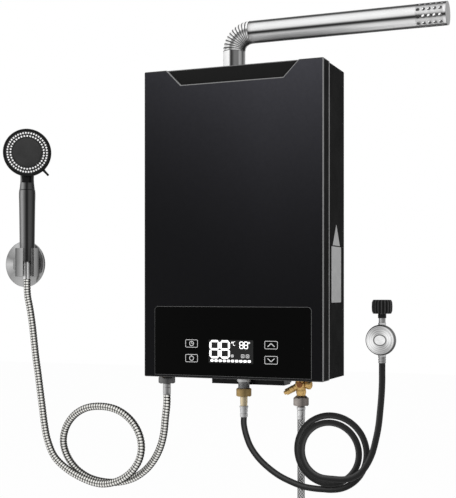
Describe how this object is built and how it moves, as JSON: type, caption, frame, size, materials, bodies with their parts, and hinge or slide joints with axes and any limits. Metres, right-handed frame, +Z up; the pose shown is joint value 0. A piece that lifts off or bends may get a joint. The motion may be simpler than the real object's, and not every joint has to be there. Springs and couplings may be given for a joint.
{
  "type": "portable propane water heater",
  "caption": "Wall-hung tankless gas water heater: black steel case, flue pipe, glass control panel, hand shower on a hose with wall clip, gas hose with regulator, braided inlet hose.",
  "frame": {"origin": "centre of the case on the wall plane, which is the back face of the case", "axes": "+X to the right seen from the front, +Y into the wall, +Z up"},
  "size_m": [0.9185, 0.1306, 0.9825],
  "materials": {
    "case_paint": "satin black powder coat",
    "black_glass": "gloss black back-painted glass",
    "dark_plastic": "dark grey, satin to gloss",
    "black_plastic": "matte black",
    "grey_plastic": "light grey printed strip",
    "white_plastic": "off-white moulding",
    "board": "green lacquered board",
    "brass": "bare turned brass",
    "copper": "bare copper",
    "steel": "satin stainless steel",
    "zinc_steel": "zinc plated sheet",
    "polished_steel": "polished stainless steel",
    "aluminium": "spun and cast aluminium",
    "chrome": "bright chrome plate",
    "red_rubber": "silicone seal",
    "black_rubber": "smooth black rubber hose",
    "white_rubber": "soft white silicone"
  },
  "bodies": {
    "heater": {"rear_shell": "case_paint", "front_cover": "case_paint", "control_glass": "black_glass", "display_module": "dark_plastic", "control_board": "board", "touch_springs": "brass", "cover_screws": "zinc_steel", "side_arrow": "grey_plastic", "flue_collar": "polished_steel", "flue_gasket": "red_rubber", "fan_housing": "zinc_steel", "fan_motor": "dark_plastic", "exhaust_hood": "zinc_steel", "exchanger_fins": "copper", "exchanger_tubes": "copper", "combustion_chamber": "copper", "burner_tray": "zinc_steel", "burner_bars": "steel", "gas_manifold": "brass", "gas_pipe": "brass", "gas_valve": "aluminium", "plunger_spring": "steel", "electrodes": "steel", "spark_module": "dark_plastic", "cold_pipe": "copper", "hot_pipe": "copper", "flow_sensor": "white_plastic", "battery_box": "black_plastic", "battery_cells": "dark_plastic", "hot_union": "steel", "gas_union": "brass", "inlet_valve": "brass", "cold_union": "steel", "shower_hose": "chrome", "gas_hose_lead": "black_rubber", "gas_hose_coil": "black_rubber", "gas_hose_tail": "black_rubber", "water_hose": "steel", "water_hose_nut": "steel", "regulator_body": "aluminium", "regulator_cover": "aluminium", "regulator_stem": "aluminium", "holder_base": "chrome", "holder_clip": "chrome"},
    "handset": {"handset_body": "dark_plastic", "spray_plate": "dark_plastic", "spray_nozzles": "white_rubber", "handset_nut": "chrome"},
    "mode_ring": {"mode_lever": "dark_plastic"},
    "flue": {"flue_sleeve": "polished_steel", "flue_elbow": "polished_steel", "flue_pipe": "polished_steel", "flue_cap": "polished_steel"},
    "tank_hand_knob": {"tank_knob": "black_plastic"},
    "battery_cover": {"battery_lid": "black_plastic"},
    "impeller": {"fan_impeller": "aluminium"},
    "flow_wheel": {"flow_rotor": "white_plastic"},
    "plunger": {"gas_plunger": "steel"},
    "water_knob": {"valve_knob": "brass"}
  },
  "joints": [
    {"name": "handset_lift", "type": "slide", "parent": "heater", "child": "handset", "axis": [0, 0, 1], "range_m": [0, 0.075]},
    {"name": "spray_mode", "type": "hinge", "parent": "handset", "child": "mode_ring", "pos_m": [-0.472, -0.045, 0.152], "axis": [0.5446, -0.8387, 0], "range_deg": [-40, 40]},
    {"name": "flue_swivel", "type": "hinge", "parent": "heater", "child": "flue", "pos_m": [-0.0195, -0.065, 0.3], "axis": [0, 0, 1], "range_deg": [-180, 0]},
    {"name": "tank_knob_turn", "type": "hinge", "parent": "heater", "child": "tank_hand_knob", "pos_m": [0.262, -0.0985, -0.15], "axis": [0, 0, 1], "continuous": true},
    {"name": "battery_lid_open", "type": "hinge", "parent": "heater", "child": "battery_cover", "pos_m": [0.003, -0.0194, -0.2864], "axis": [1, 0, 0], "range_deg": [0, 100]},
    {"name": "fan_spin", "type": "hinge", "parent": "heater", "child": "impeller", "pos_m": [0.0155, -0.08, 0.1902], "axis": [0, 1, 0], "continuous": true},
    {"name": "flow_rotor_spin", "type": "hinge", "parent": "heater", "child": "flow_wheel", "pos_m": [0.111, -0.075, -0.238], "axis": [0, 0, 1], "continuous": true},
    {"name": "gas_plunger_travel", "type": "slide", "parent": "heater", "child": "plunger", "axis": [1, 0, 0], "range_m": [0, 0.003], "stiffness_N_per_m": 300, "springref_m": -0.004, "deforming": ["plunger_spring"]},
    {"name": "valve_knob_turn", "type": "hinge", "parent": "heater", "child": "water_knob", "pos_m": [0.124, -0.075, -0.285], "axis": [1, 0, 0], "range_deg": [0, 270]}
  ]
}
